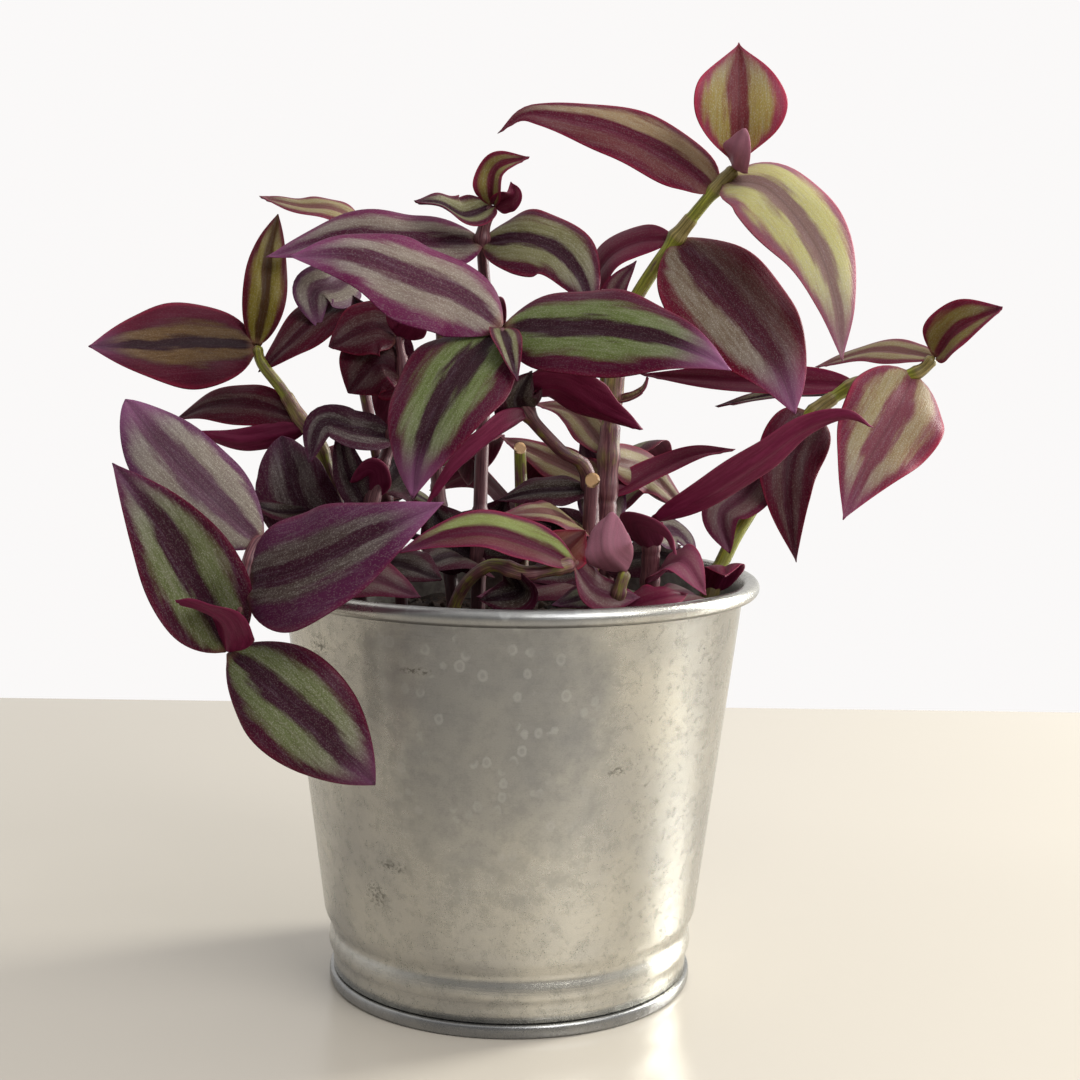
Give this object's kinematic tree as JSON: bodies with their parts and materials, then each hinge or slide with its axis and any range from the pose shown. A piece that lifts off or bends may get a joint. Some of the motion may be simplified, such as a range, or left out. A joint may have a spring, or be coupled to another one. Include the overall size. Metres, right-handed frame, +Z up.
{
  "type": "potted tradescantia",
  "caption": "Potted trailing spiderwort: pointed striped leaves on branching stems, in a tapered galvanised steel pot with a rolled rim.",
  "frame": {"origin": "centre of the pot's underside, on the surface it stands on", "axes": "+Z up, -Y the front of the plant, +X to the right seen from the front"},
  "size_m": [0.2131, 0.1504, 0.2282],
  "materials": {
    "galvanised_steel": "galvanised, satin, with faint spangle and water marks",
    "soil": "dark damp potting soil",
    "stem": "juicy stem, purple-pink with lime green stretches",
    "leaf": "silvery sheen over maroon with two green stripes, magenta underneath"
  },
  "bodies": {
    "root": {"leaf_back_end": "leaf", "leaf_back_left_low": "leaf", "leaf_back_left_mid": "leaf", "leaf_back_left_out": "leaf", "leaf_back_left_rear": "leaf", "leaf_back_right_low": "leaf", "leaf_back_right_mid": "leaf", "leaf_back_right_out": "leaf", "leaf_back_right_rear": "leaf", "leaf_centre_fold": "leaf", "leaf_centre_front": "leaf", "leaf_centre_left": "leaf", "leaf_centre_pale": "leaf", "leaf_centre_right": "leaf", "leaf_crown_left": "leaf", "leaf_crown_right": "leaf", "leaf_front_low": "leaf", "leaf_hanging_back": "leaf", "leaf_hanging_front": "leaf", "leaf_hanging_left": "leaf", "leaf_hanging_low": "leaf", "leaf_inner_arch": "leaf", "leaf_inner_back": "leaf", "leaf_left_big": "leaf", "leaf_left_inner": "leaf", "leaf_left_low": "leaf", "leaf_left_upright": "leaf", "leaf_left_upright_low": "leaf", "leaf_right_big": "leaf", "leaf_right_drop": "leaf", "leaf_right_fold": "leaf", "leaf_right_level": "leaf", "leaf_right_tip": "leaf", "leaf_short_long": "leaf", "leaf_short_rim": "leaf", "leaf_tall_arch": "leaf", "leaf_tall_big": "leaf", "leaf_tall_left": "leaf", "leaf_tall_pink": "leaf", "leaf_tall_right": "leaf", "leaf_tall_tip": "leaf", "pot_base": "galvanised_steel", "pot_wall": "galvanised_steel", "soil": "soil", "stem_back": "stem", "stem_back_left": "stem", "stem_back_right": "stem", "stem_centre": "stem", "stem_crown": "stem", "stem_cut_back": "stem", "stem_cut_front": "stem", "stem_front": "stem", "stem_hanging": "stem", "stem_inner": "stem", "stem_left": "stem", "stem_right": "stem", "stem_short": "stem", "stem_stub": "stem", "stem_tall": "stem", "stem_upper_left": "stem"}
  },
  "joints": []
}
